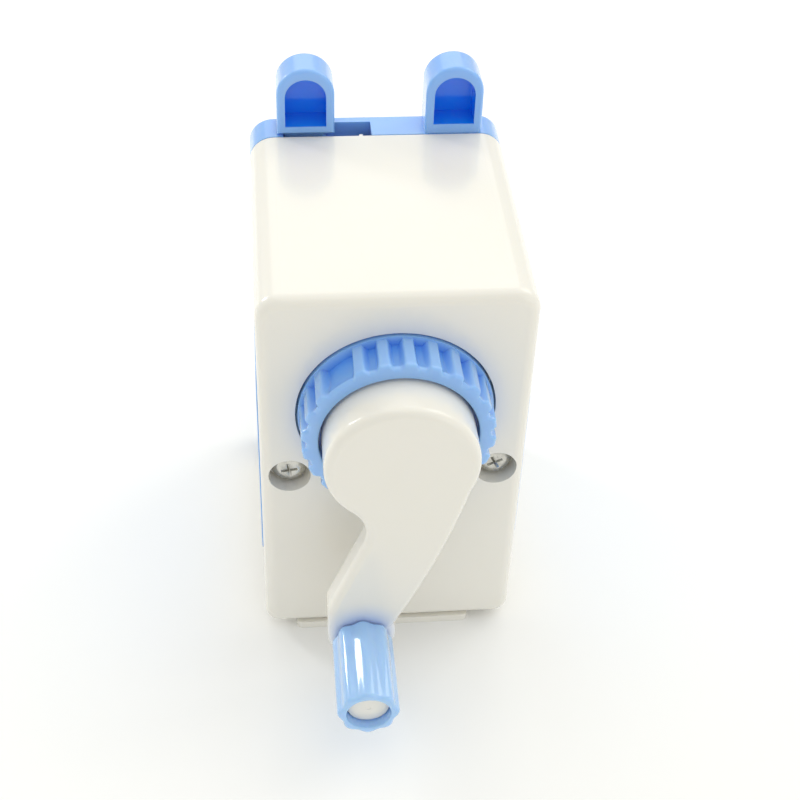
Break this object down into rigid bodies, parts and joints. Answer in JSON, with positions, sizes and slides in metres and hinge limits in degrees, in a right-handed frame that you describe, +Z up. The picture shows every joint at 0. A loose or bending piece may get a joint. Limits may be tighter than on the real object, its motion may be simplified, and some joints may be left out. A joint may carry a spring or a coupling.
{
  "type": "pencil sharpener",
  "caption": "Hand-crank desk pencil sharpener with a squeeze-ear feed plate, helical cutter, ribbed lock ring, comma-shaped crank and shavings drawer.",
  "frame": {"origin": "centre of the body on the bottom of the foot plate, the face that rests on the desk", "axes": "+Z up, -Y towards the pencil side, +Y towards the crank, +X to the right seen from the front"},
  "size_m": [0.0576, 0.106, 0.1142],
  "materials": {
    "white_abs": "gloss",
    "blue_plastic": "gloss",
    "blue_panel": "gloss",
    "clear_blue": "gloss, slightly translucent",
    "grey_nylon": "matte",
    "screw_steel": "nickel plated",
    "bright_steel": "ground",
    "cutter_steel": "hardened and ground",
    "spring_steel": "drawn wire",
    "brass": "machined"
  },
  "bodies": {
    "housing": {"housing_shell": "white_abs", "foot_plate": "white_abs", "foot_screws": "screw_steel", "housing_screws": "screw_steel", "side_panel_left": "blue_panel", "side_panel_right": "blue_panel", "inner_frame": "grey_nylon", "screw_posts": "grey_nylon"},
    "drawer": {"shavings_drawer": "clear_blue"},
    "feed_plate": {"front_plate": "blue_plastic", "chuck_cover": "grey_nylon", "chuck_screws": "screw_steel", "guide_rod_left": "bright_steel", "guide_rod_right": "bright_steel", "rod_clips": "spring_steel", "rod_spring_left": "spring_steel", "rod_spring_right": "spring_steel", "grip_spring": "spring_steel"},
    "grip": {"grip_lever": "blue_plastic"},
    "jaw_a": {"jaw_1": "bright_steel"},
    "jaw_b": {"jaw_2": "bright_steel"},
    "jaw_c": {"jaw_3": "bright_steel"},
    "lock": {"lock_ring": "blue_plastic", "ring_gear": "grey_nylon"},
    "crank": {"crank_arm": "white_abs", "cutter_carrier": "grey_nylon", "carrier_screws": "screw_steel", "cutter_axle": "bright_steel", "knob_axle": "white_abs"},
    "cutter": {"helical_cutter": "cutter_steel", "cutter_pinion": "brass"},
    "knob_grip": {"knob": "blue_plastic"}
  },
  "joints": [
    {"name": "drawer_slide", "type": "slide", "parent": "housing", "child": "drawer", "axis": [0, -1, 0], "range_m": [0, 0.045]},
    {"name": "plate_slide", "type": "slide", "parent": "housing", "child": "feed_plate", "axis": [0, -1, 0], "range_m": [0, 0.028], "stiffness_N_per_m": 150, "springref_m": -0.008, "deforming": ["rod_spring_left", "rod_spring_right"]},
    {"name": "grip_turn", "type": "hinge", "parent": "feed_plate", "child": "grip", "pos_m": [0, 0, 0.068], "axis": [0, -1, 0], "range_deg": [0, 16], "stiffness_Nm_per_rad": 0.3, "springref_deg": -8.59, "deforming": ["grip_spring"]},
    {"name": "jaw_a_slide", "type": "slide", "parent": "feed_plate", "child": "jaw_a", "axis": [0, 0, 1], "range_m": [0, 0.0025]},
    {"name": "jaw_b_slide", "type": "slide", "parent": "feed_plate", "child": "jaw_b", "axis": [-0.866, 0, -0.5], "range_m": [0, 0.0025]},
    {"name": "jaw_c_slide", "type": "slide", "parent": "feed_plate", "child": "jaw_c", "axis": [0.866, 0, -0.5], "range_m": [0, 0.0025]},
    {"name": "lock_turn", "type": "hinge", "parent": "housing", "child": "lock", "pos_m": [0, 0, 0.068], "axis": [0, 1, 0], "range_deg": [0, 45]},
    {"name": "crank_spin", "type": "hinge", "parent": "lock", "child": "crank", "pos_m": [0, 0, 0.068], "axis": [0, 1, 0], "continuous": true},
    {"name": "cutter_spin", "type": "hinge", "parent": "crank", "child": "cutter", "pos_m": [0, 0.0465, 0.068], "axis": [0, 0.9816, -0.1908], "continuous": true},
    {"name": "knob_spin", "type": "hinge", "parent": "crank", "child": "knob_grip", "pos_m": [0.0075, 0.06, 0.0172], "axis": [0, 1, 0], "continuous": true}
  ],
  "couplings": [
    {"joint": "jaw_a_slide", "follows": "grip_turn", "m_per_rad": 0.00895},
    {"joint": "jaw_b_slide", "follows": "grip_turn", "m_per_rad": 0.00895},
    {"joint": "jaw_c_slide", "follows": "grip_turn", "m_per_rad": 0.00895},
    {"joint": "cutter_spin", "follows": "crank_spin", "ratio": -1.7143}
  ]
}
